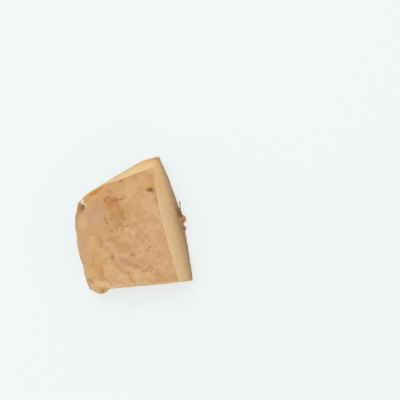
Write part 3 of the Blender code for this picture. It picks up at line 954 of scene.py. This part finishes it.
def dryness(tree, place, in_flesh):
    """How rough the surface is: patchy on the skin, and a little less on the flesh."""
    dull = ramp(tree, grain(tree, place, *DULL_GRAIN), *DULL_RANGE)
    skin = maths(tree, "ADD", SKIN_ROUGHNESS, times(tree, dull, DULL_MORE))
    return maths(tree, "SUBTRACT", skin, times(tree, in_flesh, FLESH_LESS))


def fine_bump(tree, place, grown_place):
    """The finest grain of the surface, too small for the mesh."""
    fine = grain(tree, place, *FINE_GRAIN)
    long = times(tree, grain(tree, grown_place, *LONG_GRAIN), LONG_SHARE)
    inputs = {"Height": maths(tree, "ADD", fine, long), "Strength": BUMP_STRENGTH, "Distance": BUMP_HEIGHT}
    return add_node(tree, "ShaderNodeBump", inputs).outputs[0]


def ginger_material():
    """Skin where the chunk grew and flesh where it was cut, in one material."""
    material = bpy.data.materials.new("ginger_skin_and_flesh")
    material.use_nodes = True
    tree = material.node_tree
    shader = tree.nodes["Principled BSDF"]
    place = add_node(tree, "ShaderNodeTexCoord").outputs["Object"]
    height = add_node(tree, "ShaderNodeSeparateXYZ", {0: place}).outputs["Z"]
    grown_place = along_growth(tree, place, FIBRE_STRETCH)
    depth = mask(tree, "cut_depth")
    uneven = maths(tree, "SUBTRACT", grain(tree, place, *KNIFE_EDGE_GRAIN), NOISE_MIDDLE)
    ragged_depth = maths(tree, "ADD", depth, times(tree, uneven, KNIFE_EDGE_RAGGED))
    in_flesh = ramp(tree, ragged_depth, *KNIFE_EDGE_DEPTHS)
    skin = skin_colour(tree, place, grown_place)
    flesh = flesh_colour(tree, place, grown_place, depth, height)
    colour = marked(tree, place, mixed(tree, in_flesh, skin, flesh))
    tree.links.new(colour, shader.inputs["Base Color"])
    tree.links.new(dryness(tree, place, in_flesh), shader.inputs["Roughness"])
    tree.links.new(fine_bump(tree, place, grown_place), shader.inputs["Normal"])
    shader.inputs["Specular IOR Level"].default_value = SPECULAR
    shader.inputs["Subsurface Weight"].default_value = SUBSURFACE
    shader.inputs["Subsurface Radius"].default_value = SUBSURFACE_RADIUS
    shader.inputs["Subsurface Scale"].default_value = SUBSURFACE_SCALE
    return material


def floor_material():
    """A softly glowing pale table, as in a light box."""
    material = bpy.data.materials.new("pale_floor")
    material.use_nodes = True
    shader = material.node_tree.nodes["Principled BSDF"]
    dimmed = [FLOOR_DIFFUSE * channel for channel in FLOOR[:3]]
    shader.inputs["Base Color"].default_value = (*dimmed, 1.0)
    shader.inputs["Roughness"].default_value = FLOOR_ROUGHNESS
    shader.inputs["Specular IOR Level"].default_value = 0.0
    shader.inputs["Emission Color"].default_value = FLOOR
    shader.inputs["Emission Strength"].default_value = FLOOR_GLOW
    return material


def make_floor():
    """A wide pale floor, which isn't part of the object."""
    corners = [(-1, -1), (1, -1), (1, 1), (-1, 1)]
    mesh = bpy.data.meshes.new("floor")
    mesh.from_pydata([(FLOOR_HALF * x, FLOOR_HALF * y, 0) for x, y in corners], [], [(0, 1, 2, 3)])
    mesh.materials.append(floor_material())
    floor = bpy.data.objects.new("floor", mesh)
    bpy.context.scene.collection.objects.link(floor)


def make_camera():
    """A camera that looks straight down, as the photograph does."""
    camera = bpy.data.cameras.new("camera")
    camera.sensor_width = SENSOR
    camera.lens = SENSOR * (CAMERA_HEIGHT - FRAME_LEVEL) / FRAME_WIDTH
    camera.clip_start = CLIP_START
    holder = bpy.data.objects.new("camera", camera)
    holder.location = (*FRAME_MIDDLE, CAMERA_HEIGHT)
    bpy.context.scene.collection.objects.link(holder)
    bpy.context.scene.camera = holder


def make_lamp():
    """One large soft lamp above the chunk, a little to the back left."""
    lamp = bpy.data.lights.new("overhead", "AREA")
    lamp.shape = "DISK"
    lamp.size = LAMP_SIZE
    lamp.energy = LAMP_POWER
    holder = bpy.data.objects.new("overhead", lamp)
    holder.location = LAMP_PLACE
    holder.rotation_mode = "QUATERNION"
    holder.rotation_quaternion = (Vector(LAMP_AIM) - Vector(LAMP_PLACE)).to_track_quat("-Z", "Y")
    bpy.context.scene.collection.objects.link(holder)


def make_sky():
    """Even white light from all round."""
    world = bpy.data.worlds.new("studio")
    world.use_nodes = True
    background = world.node_tree.nodes["Background"]
    background.inputs["Color"].default_value = SKY_WHITE
    background.inputs["Strength"].default_value = SKY
    bpy.context.scene.world = world


def make_ginger():
    """The chunk, in place of the solid."""
    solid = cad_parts["ginger_root"]
    piece = fine_copy(solid)
    grow_detail(piece, solid)
    piece.data.materials.clear()
    piece.data.materials.append(ginger_material())
    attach(piece, "root")
    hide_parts("ginger_root")


make_camera()
make_sky()
make_lamp()
make_floor()
make_ginger()
bpy.context.scene.view_settings.view_transform = "Standard"
